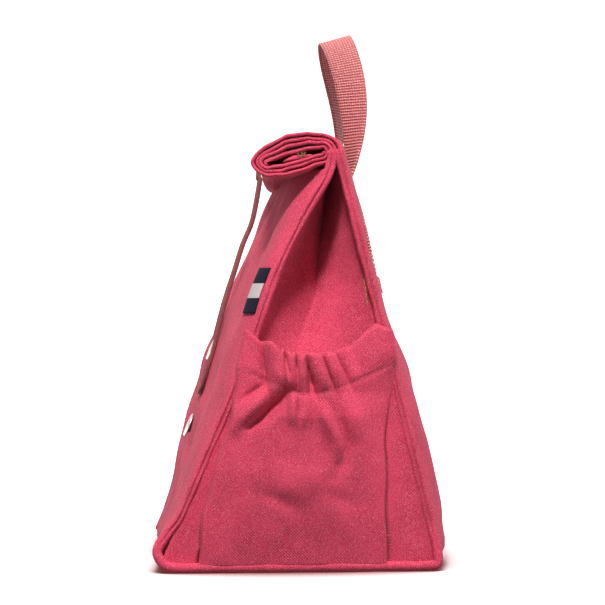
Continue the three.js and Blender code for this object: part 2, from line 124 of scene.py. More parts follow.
def spline(points, count):
    """A smooth line through the points, with evenly spaced samples."""
    p = np.asarray(points, float)
    p = np.vstack([2 * p[0] - p[1], p, 2 * p[-1] - p[-2]])
    t = np.linspace(0, 1, 24, endpoint=False)[:, None]
    parts = []
    for a, b, c, d in zip(p, p[1:], p[2:], p[3:]):
        square, cube = 2 * a - 5 * b + 4 * c - d, 3 * b - a - 3 * c + d
        parts.append(0.5 * (2 * b + (c - a) * t + square * t**2 + cube * t**3))
    return resample(np.vstack(parts + [p[-2:-1]]), count)


def resample(line, count):
    steps = np.r_[0, np.cumsum(np.linalg.norm(np.diff(line, axis=0), axis=1))]
    wanted = np.linspace(0, steps[-1], count)
    return np.stack([np.interp(wanted, steps, line[:, i]) for i in range(line.shape[1])], 1)


def length_of(line):
    return float(np.linalg.norm(np.diff(line, axis=0), axis=1).sum())


def cut_of(grid):
    """A modelled cloth laid flat: its longest row and column in metres, and its area in square metres."""
    width = max(length_of(row) for row in grid)
    length = max(length_of(column) for column in grid.transpose(1, 0, 2))
    cells = np.cross(np.diff(grid, axis=1)[:-1], np.diff(grid, axis=0)[:, :-1])
    area = np.linalg.norm(cells, axis=-1).sum()
    return (width * MM, length * MM), float(area) * MM**2


def unit(v):
    return v / np.maximum(np.linalg.norm(v, axis=-1, keepdims=True), 1e-9)


# Mesh makers
def build(name, points, faces, material):
    mesh = bpy.data.meshes.new(name)
    mesh.from_pydata((np.asarray(points).reshape(-1, 3) * MM).tolist(), [], faces)
    mesh.shade_smooth()
    mesh.materials.append(material)
    obj = bpy.data.objects.new(name, mesh)
    scene.collection.objects.link(obj)
    return obj


def slab(name, middle, thickness, material, weave=None):
    """A closed sheet around a grid of points, rows by columns; its outer side is columns x rows.

    Weave is the cloth's own two coordinates at each point, for a pattern that follows the strap."""
    rows, columns = middle.shape[:2]
    normal = unit(np.cross(np.gradient(middle, axis=1), np.gradient(middle, axis=0)))
    half = np.broadcast_to(np.asarray(thickness, float), (rows, columns))[..., None] / 2
    index = np.arange(rows * columns).reshape(rows, columns)
    quads = np.stack([index[:-1, :-1], index[:-1, 1:], index[1:, 1:], index[1:, :-1]], -1).reshape(-1, 4)
    edge = np.r_[index[0, :-1], index[:-1, -1], index[-1, :0:-1], index[:0:-1, 0]]
    ahead = np.roll(edge, -1)
    n = rows * columns
    rim = np.stack([ahead, edge, edge + n, ahead + n], -1)
    faces = np.vstack([quads, quads[:, ::-1] + n, rim])
    points = np.concatenate([middle + normal * half, middle - normal * half])
    obj = build(name, points, faces.tolist(), material)
    if weave is not None:
        corners = np.empty(len(obj.data.loops), dtype=np.int32)
        obj.data.loops.foreach_get("vertex_index", corners)
        layer = obj.data.uv_layers.new(name="weave")
        layer.uv.foreach_set("vector", weave.reshape(-1, 2)[corners % n].astype(np.float32).ravel())
    return obj


def sweep(name, rings, material):
    """A closed bar through rings of points."""
    count, sides = rings.shape[:2]
    index = np.arange(count * sides).reshape(count, sides)
    turned = np.roll(index, -1, axis=1)
    quads = np.stack([index[:-1], turned[:-1], turned[1:], index[1:]], -1).reshape(-1, 4).tolist()
    return build(name, rings, quads + [index[0, ::-1].tolist(), index[-1].tolist()], material)


def along(path):
    return unit(np.gradient(path, axis=0))


def lathe(name, profile, centre, axis, material, sides=40):
    """A turned piece: profile is (radius, height) pairs from the foot's middle to the top's middle."""
    axis = unit(np.asarray(axis, float))
    side = unit(np.cross(axis, [1.0, 0.0, 0.01]))
    other = np.cross(axis, side)
    angle = circle(sides)
    spoke = np.cos(angle)[:, None] * side + np.sin(angle)[:, None] * other
    rings = np.stack([np.asarray(centre) + spoke * r + axis * h for r, h in profile])
    return sweep(name, rings, material)


# Pitch, length and radius of each kind of stitch
SEAM_STITCH = (3.2, 2.3, 0.34)
HEM_STITCH = (3.0, 2.2, 0.4)
STRAP_STITCH = (2.6, 2.1, 0.36)
LOOSE_STITCH = (3.4, 3.3, 0.3)
TUFT_STITCH = (0.8, 1.0, 0.28)

# One stitch is a short bar: places along it from end to end, its thickness at each, and its sides
STITCH_PLACES = (-1.0, -0.7, 0.0, 0.7, 1.0)
STITCH_FULL = (0.3, 0.85, 1.0, 0.85, 0.3)
STITCH_SIDES = 6


def stitches(name, lines, pitch, length, radius, material):
    """Rows of thread: each line is (points, outward direction of the cloth)."""
    points, faces = [], []
    angle = circle(STITCH_SIDES)
    last = STITCH_SIDES * (len(STITCH_PLACES) - 1)
    for path, out in lines:
        count = max(2, int(length_of(path) / pitch) + 1)
        spots = resample(path, count)
        ways = along(spots)
        outs = np.broadcast_to(np.asarray(out, float), path.shape)
        turning = np.ptp(outs, axis=0).max() > 1e-6
        outs = unit(resample(outs, count) if turning else np.repeat(outs[:1], count, 0))
        for spot, way, up in zip(spots, ways, outs):
            cross = np.cross(way, up)
            base = len(points)
            for u, s in zip(STITCH_PLACES, STITCH_FULL):
                middle = spot + way * u * length / 2 + up * radius * (0.6 - 0.9 * u * u)
                for a in angle:
                    points.append(middle + s * radius * (math.cos(a) * cross + math.sin(a) * up))
            for ring in range(base, base + last, STITCH_SIDES):
                for j in range(STITCH_SIDES):
                    a, b = ring + j, ring + (j + 1) % STITCH_SIDES
                    faces.append([a, b, b + STITCH_SIDES, a + STITCH_SIDES])
            faces.append([base + j for j in reversed(range(STITCH_SIDES))])
            faces.append([base + last + j for j in range(STITCH_SIDES)])
    return build(name, points, faces, material)


# Materials
def shader(name, colour, roughness, metallic=0.0, sheen=0.0):
    material = bpy.data.materials.new(name)
    material.use_nodes = True
    tree = material.node_tree
    bsdf = tree.nodes["Principled BSDF"]
    bsdf.inputs["Base Color"].default_value = (*colour, 1)
    bsdf.inputs["Roughness"].default_value = roughness
    bsdf.inputs["Metallic"].default_value = metallic
    bsdf.inputs["Sheen Weight"].default_value = sheen
    bsdf.inputs["Sheen Roughness"].default_value = 0.5
    return material, tree, bsdf


def add(tree, kind, values=None, **settings):
    node = tree.nodes.new(kind)
    for key, value in settings.items():
        setattr(node, key, value)
    for key, value in (values or {}).items():
        if isinstance(value, bpy.types.NodeSocket):
            tree.links.new(value, node.inputs[key])
        else:
            node.inputs[key].default_value = value
    return node


def noise(tree, where, scale, detail=2.0):
    values = {"Vector": where, "Scale": scale, "Detail": detail}
    return add(tree, "ShaderNodeTexNoise", values).outputs["Fac"]


def ramp(tree, fac, low, high):
    values = {"Value": fac, "From Min": low, "From Max": high}
    return add(tree, "ShaderNodeMapRange", values).outputs["Result"]


def times(tree, a, b, plus=None):
    """Two values multiplied, with a third added if there is one."""
    if plus is None:
        return add(tree, "ShaderNodeMath", {0: a, 1: b}, operation="MULTIPLY").outputs[0]
    return add(tree, "ShaderNodeMath", {0: a, 1: b, 2: plus}, operation="MULTIPLY_ADD").outputs[0]


def blend_colour(tree, fac, a, b):
    node = add(tree, "ShaderNodeMix", data_type="RGBA")
    for socket, value in zip((node.inputs[0], node.inputs[6], node.inputs[7]), (fac, a, b)):
        if isinstance(value, bpy.types.NodeSocket):
            tree.links.new(value, socket)
        else:
            socket.default_value = value if isinstance(value, float) else (*value, 1)
    return node.outputs[2]


def raised(tree, bsdf, height, distance, strength=1.0):
    bump = add(tree, "ShaderNodeBump", {"Height": height, "Strength": strength, "Distance": distance})
    tree.links.new(bump.outputs["Normal"], bsdf.inputs["Normal"])


def wave(tree, where, way, pitch, wobble, bend):
    """A sine wave along a direction, bent by a noise."""
    line = add(tree, "ShaderNodeVectorMath", {0: where, 1: way}, operation="DOT_PRODUCT").outputs["Value"]
    turns = times(tree, line, TURN / (pitch * MM))
    shifted = times(tree, wobble, bend, turns)
    return add(tree, "ShaderNodeMath", {0: shifted}, operation="SINE").outputs[0]


def chosen(tree, share, a, b):
    """One of two values: b where share is 1, a where it is 0."""
    return add(tree, "ShaderNodeMix", {0: share, 2: a, 3: b}, data_type="FLOAT").outputs[0]


def larger(tree, a, b):
    return add(tree, "ShaderNodeMath", {0: a, 1: b}, operation="GREATER_THAN").outputs[0]


def flat_spot(tree):
    """Two coordinates on the cloth, as seen along the axis that it faces most."""
    coords = add(tree, "ShaderNodeTexCoord").outputs
    place = add(tree, "ShaderNodeSeparateXYZ", {0: coords["Object"]}).outputs
    facing = add(tree, "ShaderNodeVectorMath", {0: coords["Normal"]}, operation="ABSOLUTE").outputs[0]
    facing = add(tree, "ShaderNodeSeparateXYZ", {0: facing}).outputs
    sideways = larger(tree, facing["X"], facing["Y"])
    upright = chosen(tree, sideways, facing["Y"], facing["X"])
    lying = larger(tree, facing["Z"], upright)
    width = chosen(tree, sideways, place["X"], place["Y"])
    spot = {0: chosen(tree, lying, width, place["X"]), 1: chosen(tree, lying, place["Z"], place["Y"])}
    return add(tree, "ShaderNodeCombineXYZ", spot).outputs[0]


# Cloth patterns: noise scales per metre, raised heights in metres
WOBBLE_SCALE = 200.0
WOBBLE_BEND = 3.5
CROSS_PITCH_SHARE = 1.08
CROSS_STRENGTH = 0.7
YARN_SCALE = 2250.0
WEAR_SCALE = 55.0
WEAVE_HEIGHT = 0.00016
MATT_SHINE = 0.15
RIB_WOBBLE_SCALE = 400.0
RIB_BEND = 0.9
RIB_WEAR_SCALE = 900.0
RIB_HEIGHT = 0.0003


def woven(name, deep, light, fleck, pitch, roughness=0.9, sheen=0.15, fleck_share=0.35):
    """Heathered twill: fine diagonal ribs crossed by yarns, lighter yarn flecks and soft wear."""
    material, tree, bsdf = shader(name, light, roughness, sheen=sheen)
    bsdf.inputs["Specular IOR Level"].default_value = MATT_SHINE
    where = add(tree, "ShaderNodeTexCoord").outputs["Object"]
    wobble = noise(tree, where, WOBBLE_SCALE)
    spot = flat_spot(tree)
    twill = wave(tree, spot, (1.0, 1.0, 0.0), pitch, wobble, WOBBLE_BEND)
    cross = wave(tree, spot, (1.0, -1.0, 0.0), pitch * CROSS_PITCH_SHARE, wobble, WOBBLE_BEND)
    both = times(tree, cross, CROSS_STRENGTH, twill)
    yarn = noise(tree, where, YARN_SCALE, 1.0)
    worn = noise(tree, where, WEAR_SCALE, 3.0)
    cloth = blend_colour(tree, ramp(tree, both, -1.4, 1.4), deep, light)
    patch = blend_colour(tree, ramp(tree, worn, 0.3, 0.75), cloth, light)
    speck = times(tree, ramp(tree, yarn, 0.50, 0.70), fleck_share)
    colour = blend_colour(tree, speck, patch, fleck)
    tree.links.new(colour, bsdf.inputs["Base Color"])
    height = times(tree, both, 0.5, yarn)
    raised(tree, bsdf, height, WEAVE_HEIGHT, 0.8)
    return material


def ribbed(name, groove, rib, tick, roughness=0.9):
    """Webbing: ribs across the strap, each a row of small raised ticks, with painted shade in the grooves
    between the ribs.
    """
    material, tree, bsdf = shader(name, rib, roughness, sheen=0.1)
    where = add(tree, "ShaderNodeTexCoord").outputs["Object"]
    spot = add(tree, "ShaderNodeUVMap", uv_map="weave").outputs["UV"]
    wobble = noise(tree, where, RIB_WOBBLE_SCALE)
    rows = wave(tree, spot, (0.0, MM, 0.0), RIB_PITCH, wobble, RIB_BEND)
    columns = wave(tree, spot, (MM, 0.0, 0.0), TICK_PITCH, wobble, RIB_BEND)
    # Painted shade: the grooves between the ribs take the darker colour, the rib tops the lighter one.
    level = ramp(tree, rows, -0.7, 0.8)
    cloth = blend_colour(tree, level, groove, rib)
    high = times(tree, ramp(tree, columns, -0.2, 0.9), level)
    worn = times(tree, noise(tree, where, RIB_WEAR_SCALE), high)
    tree.links.new(blend_colour(tree, worn, cloth, tick), bsdf.inputs["Base Color"])
    height = times(tree, high, 0.6, level)
    raised(tree, bsdf, height, RIB_HEIGHT, 0.9)
    return material


# Colours of the deep yarn, the light yarn and the flecks; pitches in millimetres
CANVAS_COLOURS = (0.26, 0.012, 0.033), (0.57, 0.034, 0.084), (0.80, 0.21, 0.29)
CORD_COLOURS = (0.14, 0.025, 0.032), (0.27, 0.055, 0.060), (0.45, 0.17, 0.155)
CANVAS_PITCH = 1.6
CORD_PITCH = 0.7
canvas = woven("canvas", *CANVAS_COLOURS, CANVAS_PITCH, sheen=0.03, fleck_share=0.6)
# The webbing's first colour is the painted shade of its grooves, then come its ribs and its ticks.
webbing = ribbed("webbing", (0.29, 0.055, 0.062), (0.50, 0.125, 0.130), (0.92, 0.52, 0.45))
cord_cloth = woven("cord", *CORD_COLOURS, CORD_PITCH, fleck_share=0.4)
thread = shader("thread", (0.40, 0.05, 0.085), 0.8)[0]
olive_thread = shader("olive_thread", (0.26, 0.20, 0.05), 0.8)[0]
lining = shader("lining", (0.53, 0.56, 0.58), 0.45)[0]
foam = shader("foam", (0.82, 0.78, 0.72), 0.95)[0]
elastic = shader("elastic", (0.70, 0.68, 0.61), 0.85)[0]
nickel, nickel_tree, nickel_shader = shader("nickel", (0.62, 0.60, 0.57), 0.32, metallic=1.0)
nickel_where = add(nickel_tree, "ShaderNodeTexCoord").outputs["Object"]
raised(nickel_tree, nickel_shader, noise(nickel_tree, nickel_where, 900.0), 0.00004, 0.5)


def striped(name, dark, pale, low, high):
    """A woven ribbon with one pale band between two dark ones, stacked in height."""
    material, tree, bsdf = shader(name, dark, 0.9)
    bsdf.inputs["Specular IOR Level"].default_value = 0.1
    where = add(tree, "ShaderNodeTexCoord").outputs["Object"]
    level = add(tree, "ShaderNodeSeparateXYZ", {0: where}).outputs["Z"]
    band = times(tree, larger(tree, level, low * MM), larger(tree, high * MM, level))
    tree.links.new(blend_colour(tree, band, dark, pale), bsdf.inputs["Base Color"])
    raised(tree, bsdf, noise(tree, where, 1500.0), 0.0001, 0.6)
    return material


PALE_BAND_Z = (149.5, 157.5)
ribbon = striped("ribbon", (0.010, 0.009, 0.020), (0.47, 0.41, 0.41), *PALE_BAND_Z)


# The bag's faces
FOOT_TUCK = 4.5
FOOT_BULGE = 5.2
SEAM_BOW = 5.2


def front_line(z, x=0.0):
    """The front's slope; its seams bow out above, its right foot is full and its left one tucked."""
    tuck = FOOT_TUCK * smooth(-40, -100, x) * smooth(80, 36, z)
    bulge = FOOT_BULGE * smooth(40, 100, x) * bell(z, 15, 8)
    bow = SEAM_BOW * smooth(70, 100, np.abs(x)) * bell(z, 168, 42) * smooth(222, 200, z)
    return BASE_FRONT_Y + FRONT_SLOPE * z + tuck - bulge - bow


def back_line(z):
    return BASE_BACK_Y - BACK_SLOPE * z


def across(x):
    return 1 - np.abs(x / HALF_WIDTH) ** 5


# How far the cord's pull draws in the middle of the front, by height
CORD_VALLEY_Z = (50, 74, 95, 115, 137, 158, 195)
CORD_VALLEY = (0.6, 1.3, 3.3, 2.4, 1.8, 1.5, 0.4)
BUTTON_DIMPLE = 0.8
NEAR_SLACK = 4.5


def front_y(x, z, depth=0.0):
    swell = across(x) * (FRONT_PUFF * smooth(5, 125, z) - 1.5 * bell(z, 95, 30))
    rough = across(x) * smooth(10, 40, z) * (1.1 * lumps(x, z, 62, 3) + 0.45 * lumps(x, z, 24, 4))
    dimples = sum(BUTTON_DIMPLE * bell(x, 0, 13) * bell(z, level, 13) for level in BUTTON_Z)
    valley = np.interp(z, CORD_VALLEY_Z, CORD_VALLEY) * bell(x, 0, 30)
    slack = NEAR_SLACK * bell(z, 105, 50) * smooth(-6, 34, x) * across(x)
    return front_line(z, x) - swell - rough + dimples + valley + slack + depth / FRONT_COS


def back_y(x, z, depth=0.0):
    full = mix(BACK_BELLY, BACK_NECK, smooth(100, 150, z))
    swell = full * across(x) * (0.7 * smooth(-4, 12, z) + 0.3 * smooth(14, 50, z))
    rough = across(x) * smooth(10, 40, z) * smooth(228, 190, z)
    rough = rough * (0.8 * lumps(x, z, 58, 5) + 0.3 * lumps(x, z, 22, 6))
    return back_line(z) + swell + rough - depth / BACK_COS


def width_columns(count, edge):
    """Positions across the bag with closely spaced ones at both ends, and how thick the cloth is there."""
    u = np.linspace(-1, 1, count)
    body = (HALF_WIDTH - edge) * (1.2 * u - 0.2 * u**3)
    turn = np.array([0.45, 0.8, 0.95, 1.0])
    x = np.r_[-(HALF_WIDTH - edge + edge * turn[::-1]), body, HALF_WIDTH - edge + edge * turn]
    full = np.r_[np.sqrt(1 - turn[::-1] ** 2), np.ones(count), np.sqrt(1 - turn**2)]
    return x, np.maximum(full, 0.06)


def panel_rows(x, line, surface, outward, depth, levels):
    """Grid of points up a panel, with a rounded corner into the base at its foot."""
    t = np.linspace(0, 1, 9)[:-1, None]
    foot = np.array([line(0.0) - outward * CORNER, depth])
    bend = np.array([line(depth) - outward * depth, depth])
    rise = np.array([line(CORNER) - outward * depth, CORNER])
    corner = foot * (1 - t) ** 2 + bend * 2 * t * (1 - t) + rise * t**2
    puff = surface(x[None], corner[:, 1:], 0.0) - line(corner[:, 1:])
    grid = np.zeros((len(corner) + len(levels), len(x), 3))
    grid[..., 0] = x
    grid[: len(corner), :, 1] = corner[:, :1] + puff * t
    grid[: len(corner), :, 2] = corner[:, 1:]
    z = np.asarray(levels)[:, None]
    grid[len(corner):, :, 1] = surface(x[None], z, depth)
    grid[len(corner):, :, 2] = z
    return grid


# The roll: its flat middle, its plump top, its sag by the shoulder and its droop at the far end
ROLL_FLAT = 12.0
ROLL_FLAT_LEAN = 4.7
ROLL_FLAT_FALL = 2.3
ROLL_PLUMP = 3.6
ROLL_SAG = 0.9
ROLL_DROOP = 3.6
ROLL_NOSE_THIN = 0.22
BACK_TURNS = 1.93
LINING_TURNS = 1.55
FRONT_TURNS = 1.6


def roll_point(x, turn, depth):
    """A point of the rolled top: x across, turn in radians round the roll, depth into the cloth."""
    radius = ROLL_RADIUS - ROLL_PITCH * turn / TURN - depth
    flat = ROLL_FLAT + ROLL_FLAT_LEAN * x / HALF_WIDTH - ROLL_FLAT_FALL * (x / HALF_WIDTH) ** 2
    ahead = radius * np.cos(turn) + flat * np.clip(4 * np.cos(turn), -1, 1) - (ROLL_RADIUS + flat)
    up = radius * np.sin(turn)
    settle = smooth(2, 16, -ahead)
    ahead = ahead + settle * (0.9 * np.sin(0.31 * up + 0.13 * ahead + 0.03 * x) - 0.4)
    plump = ROLL_PLUMP * bell(ahead, -27, 11) * smooth(-4, 9, up)
    plump = plump - ROLL_SAG * smooth(20, 8, -ahead) * smooth(0, 9, up)
    up = up * (1 - ROLL_NOSE_THIN * smooth(34, 50, -ahead))
    plump = plump - ROLL_DROOP * smooth(30, -70, x) * smooth(0, -9, up) * smooth(14, 34, -ahead)
    ripple = 0.32 * np.sin(0.55 * ahead + 0.05 * x) + 0.22 * np.sin(0.87 * ahead + 1.0 - 0.04 * x)
    up = up + settle * (0.4 * np.sin(0.16 * ahead + 0.6 + 0.025 * x) + ripple) + plump
    return roll_place(x, ahead, up)


def roll_place(x, ahead, up):
    """A point of the roll's tilted plane, so far ahead of its shoulder and up from its middle."""
    y = back_y(x, ROLL_SHOULDER_Z) + ahead * math.cos(ROLL_TILT) - up * math.sin(ROLL_TILT)
    z = ROLL_SHOULDER_Z + ahead * math.sin(ROLL_TILT) + up * math.cos(ROLL_TILT)
    return together(x, y, z)


x_front, front_full = width_columns(110, 0.7)
front_grid = panel_rows(x_front, front_line, front_y, -1, CLOTH / 2, np.linspace(CORNER + 1, 220, 122))
front = slab("front_panel_cloth", front_grid, CLOTH * front_full, canvas)
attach(front, "bag")
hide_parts("front_panel")

x_roll, roll_full = width_columns(90, PLY / 2)
back_z = np.linspace(CORNER + 1, ROLL_SHOULDER_Z - 1, 120)
back_grid = panel_rows(x_roll, back_line, back_y, 1, PLY / 2, back_z)
roll_turns = np.linspace(0, BACK_TURNS * TURN, 130)[:, None]
back_grid = np.vstack([back_grid, roll_point(x_roll[None], roll_turns, PLY / 2)])
back = slab("back_panel_cloth", back_grid[:, ::-1], PLY * roll_full, canvas)
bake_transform(back)
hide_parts("back_panel", "roll_back_canvas")


def inner_ply(name, depth, thickness, turns, inset, material, node):
    x, full = width_columns(60, thickness / 2)
    x = x * (HALF_WIDTH - inset) / HALF_WIDTH
    tail = np.linspace(212, ROLL_SHOULDER_Z - 1.5, 10)[:, None]
    y = back_y(x[None], tail, depth)
    tail_rows = together(x[None], y, tail)
    winding = roll_point(x[None], np.linspace(0, turns * TURN, 100)[:, None], depth)
    grid = np.vstack([tail_rows, winding])
    obj = slab(name, grid[:, ::-1], thickness * full, material)
    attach(obj, "roll")
    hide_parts(node)


LINING_DEPTH = PLY + PLY_GAP / 2 + ROLL_LINING / 2
FRONT_PLY_DEPTH = PLY + PLY_GAP + ROLL_LINING + PLY / 2
LINING_INSET = 5.0
FRONT_INSET = 0.6
inner_ply(
    "roll_lining_cloth", LINING_DEPTH, ROLL_LINING, LINING_TURNS, LINING_INSET,
    lining, "roll_lining",
)
inner_ply(
    "roll_front_cloth", FRONT_PLY_DEPTH, PLY, FRONT_TURNS, FRONT_INSET,
    canvas, "roll_front_canvas",
)

# The hem's folded end, a tongue in the middle of the roll, with a tuft of loose thread
tongue_x = np.linspace(-97, 98.6, 60)[:, None]
tongue_angle = circle(24)[None]
tongue_size = 1 + 0.1 * np.sin(tongue_x / 9.0)
tongue_half = (7.0 + 2.2 * tongue_x / HALF_WIDTH) * tongue_size
tongue_ahead = -ROLL_RADIUS - 5.2 - tongue_half + tongue_half * np.cos(tongue_angle)
tongue_full = 1.25 * np.sin(tongue_angle) * (1 + 0.3 * np.cos(tongue_angle))
tongue_up = tongue_full - 0.4 + 0.5 * np.sin(0.4 * tongue_ahead)
tongue = sweep("roll_hem_tongue", roll_place(tongue_x, tongue_ahead, tongue_up), canvas)
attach(tongue, "roll")
TUFT_AHEAD = -22.0
TUFT_UP = 0.2
tuft = []
for lean, rise in ((-0.9, 1.4), (-0.3, -1.2), (0.2, 1.0), (0.7, -0.6), (1.1, 0.9)):
    ends = [(99.0, lean, 0.0), (99.9, 1.5 * lean, 0.6 * rise), (99.6, 2 * lean, rise)]
    strand = [roll_place(np.array(x), TUFT_AHEAD + a, TUFT_UP + u) for x, a, u in ends]
    tuft.append((spline(strand, 8), (1, 0, 0)))
threads = stitches("loose_thread_tuft", tuft, *TUFT_STITCH, olive_thread)
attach(threads, "roll")

# The base panel
BASE_THICK = 1.1
base_x = np.linspace(-HALF_WIDTH + 0.5, HALF_WIDTH - 0.5, 60)
base_y = np.linspace(BASE_BACK_Y - CORNER + 1, BASE_FRONT_Y + CORNER - 1, 50)[:, None]
base_z = 0.75 + 0.08 * lumps(base_x[None], base_y, 30, 8)
base_grid = together(base_x[None], base_y, base_z)
base = slab("base_panel_cloth", base_grid[::-1], BASE_THICK, canvas)
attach(base, "bag")
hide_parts("base_panel")


# Side gussets, folded inwards above the pockets
FOLD_DEPTH = 45
FOLD_LOW_Z = 111
FOLD_RISE = 95


def fold_depth(z):
    return FOLD_DEPTH * np.clip((z - FOLD_LOW_Z) / FOLD_RISE, 0, 1.02) ** 0.55


def gusset(side, seed):
    name = SIDE_NAMES[side]
    z = np.linspace(2.0, 221.0, 112)[:, None]
    share = np.linspace(0, 1, 61)[None]
    inset = 0.9 + 10 * (1 - np.sqrt(1 - np.clip(1 - z / CORNER, 0, 1) ** 2))
    y = mix(front_line(z, side * HALF_WIDTH) + inset, back_line(z) - inset, share)
    valley = 0.5 - 0.14 * smooth(160, 118, z)
    near = np.where(share < valley, share / valley, (1 - share) / (1 - valley))
    fold = fold_depth(z) * near ** np.where(share < valley, 0.8 + 0.7 * smooth(155, 190, z), 1.0)
    rough = np.sin(math.pi * share) * (0.7 * lumps(y, z, 34, seed) + 0.3 * lumps(y, z, 13, seed + 1))
    x = HALF_WIDTH - 0.6 - fold + rough * smooth(110, 140, z)
    grid = together(side * x, y, z)
    obj = slab(f"{name}_gusset_cloth", grid[:, ::side], CLOTH, canvas)
    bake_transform(obj)
    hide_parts(f"{name}_side_gusset")
    flat, area = cut_of(grid)


# Seam ridges: two cloth edges side by side round each side of the bag, one round tube along the base
RIDGE_LOW_Z = 3.0
RIDGE_INSET = 2.0
RIDGE_WIDE = 2.5
RIDGE_TALL = 2.2
RIDGE_OUT = 1.3
RIDGE_GROOVE = 0.75


def ridge(side, seed):
    name = SIDE_NAMES[side]
    low = RIDGE_LOW_Z
    edge = side * HALF_WIDTH
    leg_foot = CORNER * 0.85
    front_leg = [(front_line(z, edge) + RIDGE_INSET / FRONT_COS, z) for z in np.linspace(214, leg_foot, 24)]
    back_leg = [(back_line(z) - RIDGE_INSET / BACK_COS, z) for z in np.linspace(leg_foot, 231, 24)]
    curl = [(SHIFT + 17.6, 230.5), (SHIFT + 17.9, 226.0), (SHIFT + 16.6, 220.5)]
    front_foot = [(front_line(low, edge) + 5.6, 5.0), (front_line(low, edge) + 13.0, low)]
    back_foot = [(back_line(low) - 10.0, low), (back_line(low) - 4.0, 4.4)]
    flat = [(y, low) for y in np.linspace(front_line(low) + 22, back_line(low) - 20, 12)]
    route = np.array(curl + front_leg + front_foot + flat + back_foot + back_leg)
    path = spline(route, 420)
    way = along(path)
    s = np.linspace(0, length_of(path), len(path))
    lower = smooth(30, 6, path[:, 1])
    wide = RIDGE_WIDE + 0.2 * smooth(170, 215, path[:, 1]) + 0.1 * lower
    wide = wide + 0.22 * lumps(s, 0 * s, 21, seed) * (1 - 0.6 * lower)
    tall = RIDGE_TALL + 0.3 * lower + 0.18 * lumps(s, 0 * s, 15, seed + 1)
    centre = HALF_WIDTH + RIDGE_OUT + 2.0 * lower + 0.3 * lumps(s, 0 * s, 36, seed + 2)
    angle = circle(32)[None]
    groove = RIDGE_GROOVE * bell(np.cos(angle), 0, 0.26) * (np.sin(angle) > 0)
    notch = 1 - groove * (1 - lower[:, None])
    off = wide[:, None] * np.cos(angle)
    out = tall[:, None] * np.sin(angle) * notch
    rings = np.stack([
        side * (centre[:, None] + out),
        path[:, 0, None] - way[:, 1, None] * off,
        path[:, 1, None] + way[:, 0, None] * off,
    ], -1)
    obj = sweep(f"{name}_seam_ridge_cloth", rings[:, ::-side], canvas)
    legs = []
    for in_front in (True, False):
        leg = (path[:, 1] > 20) & (path[:, 1] < 192) & ((path[:, 0] < SHIFT + 18) == in_front)
        x = side * (centre[leg] + 0.32 * tall[leg])
        legs.append((np.stack([x, path[leg, 0], path[leg, 1]], 1), (side, 0, 0)))
    row = stitches(f"{name}_seam_stitches", legs, *SEAM_STITCH, thread)
    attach(row, "bag")
    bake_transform(obj)
    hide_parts(f"{name}_seam_ridge")


for side, seed in ((1, 11), (-1, 21)):
    gusset(side, seed)
    ridge(side, seed + 5)


# Side pockets, gathered at the hem by a flat elastic
POCKET_LOW = 4.4
POCKET_CLOTH = 1.0
POCKET_OUT = 0.4
PLEAT_STEP = 1.3
HEM_FRONT_Y = -27.6
HEM_BACK_Y = 50.5
HEM_Z = 120.0
TUBE_FULL = 1.25
FOLD_FULL = 1.9
# Gathers of the hem: middle, half width, fullness and slant
TUBES = (
    (-14.0, 5.4, 1.45, 0.24), (-5.6, 2.9, 2.1, 0.10), (0.0, 2.7, 2.2, 0.04),
    (7.0, 4.3, 1.55, 0.17), (15.0, 3.9, 0.95, 0.20), (23.5, 4.8, 0.6, 0.22),
)
# Folds of the cloth below the hem: a line of (y, z) points, its width and its height
FOLDS = (
    (((-15, 101), (-24, 93), (-36, 80)), 4.2, 3.0),
    (((-20, 102), (-31, 94)), 2.2, -1.6),
    (((-6, 99), (-16, 89), (-27, 80)), 3.0, -3.2),
    (((7, 97), (13, 85), (19, 74), (21, 64)), 4.0, 2.3),
    (((14, 93), (21, 80), (24, 66), (19, 53)), 3.8, -1.9),
    (((22, 98), (29, 84), (32, 70)), 6.0, 1.2),
    (((-27, 45), (-12, 40), (0, 36)), 4.0, -0.6),
    (((12, 45), (22, 40), (32, 36)), 4.0, -0.6),
    (((-20, 54), (0, 47), (16, 54)), 9.0, 0.9),
    (((-4, 97), (-5, 83)), 1.8, 1.2),
    (((1, 97), (2, 82)), 1.8, 1.2),
)
# The hem's upper edge and the seam of its casing, by y from the middle of the base
HEM_TOP_Y = (-32, -27.6, -17.8, -9, -1.9, 7.4, 17.8, 29.2, 35.8, 42.9, 50.5, 55)
HEM_TOP = (135, 132, 124.6, 121, 118.6, 117.6, 120, 123.5, 130, 135.5, 132, 130)
CASING_Y = (-40, -32.5, -19.5, -8, 2, 12, 25, 45, 51, 58)
CASING = (114, 111, 105, 99.5, 97.5, 98.5, 102, 111, 116, 120)
# How far each pleat's edge lies from its seam, by height
FRONT_PLEAT_Z = (0, 5.5, 32, 53.5, 75, 100, 111, 133)
FRONT_PLEAT = (24, 22.6, 13.9, 10.3, 7.9, 2.4, -1.3, -4.8)
BACK_PLEAT_Z = (0, 2.7, 40, 69, 88, 105, 117, 134)
BACK_PLEAT = (33, 32, 23.5, 16.6, 10.2, 3.0, -1.1, -3.4)
# How far the pocket stands out at its front edge, its middle and its back edge, by height
FRONT_EDGE_Z = (0, 5, 20, 60, 95, 112, 140)
FRONT_EDGE = (4.0, 4.4, 6.2, 7.0, 5.7, 5.0, 5.0)
MIDDLE_Z = (0, 5, 25, 55, 85, 98, 108, 120, 140)
MIDDLE = (4.0, 4.8, 8.6, 12.6, 13.4, 9.5, 11.0, 9.5, 7.5)
BACK_EDGE_Z = (0, 5, 20, 60, 84, 96, 108, 120, 140)
BACK_EDGE = (3.6, 3.9, 5.6, 5.5, 3.0, 1.6, 2.0, 4.6, 5.0)
# Rows turned under at the pocket's foot: how far below its first row, and the share of its height
UNDER_ROWS = ((0.9, 0.06), (1.1, 0.45), (0.75, 0.8))


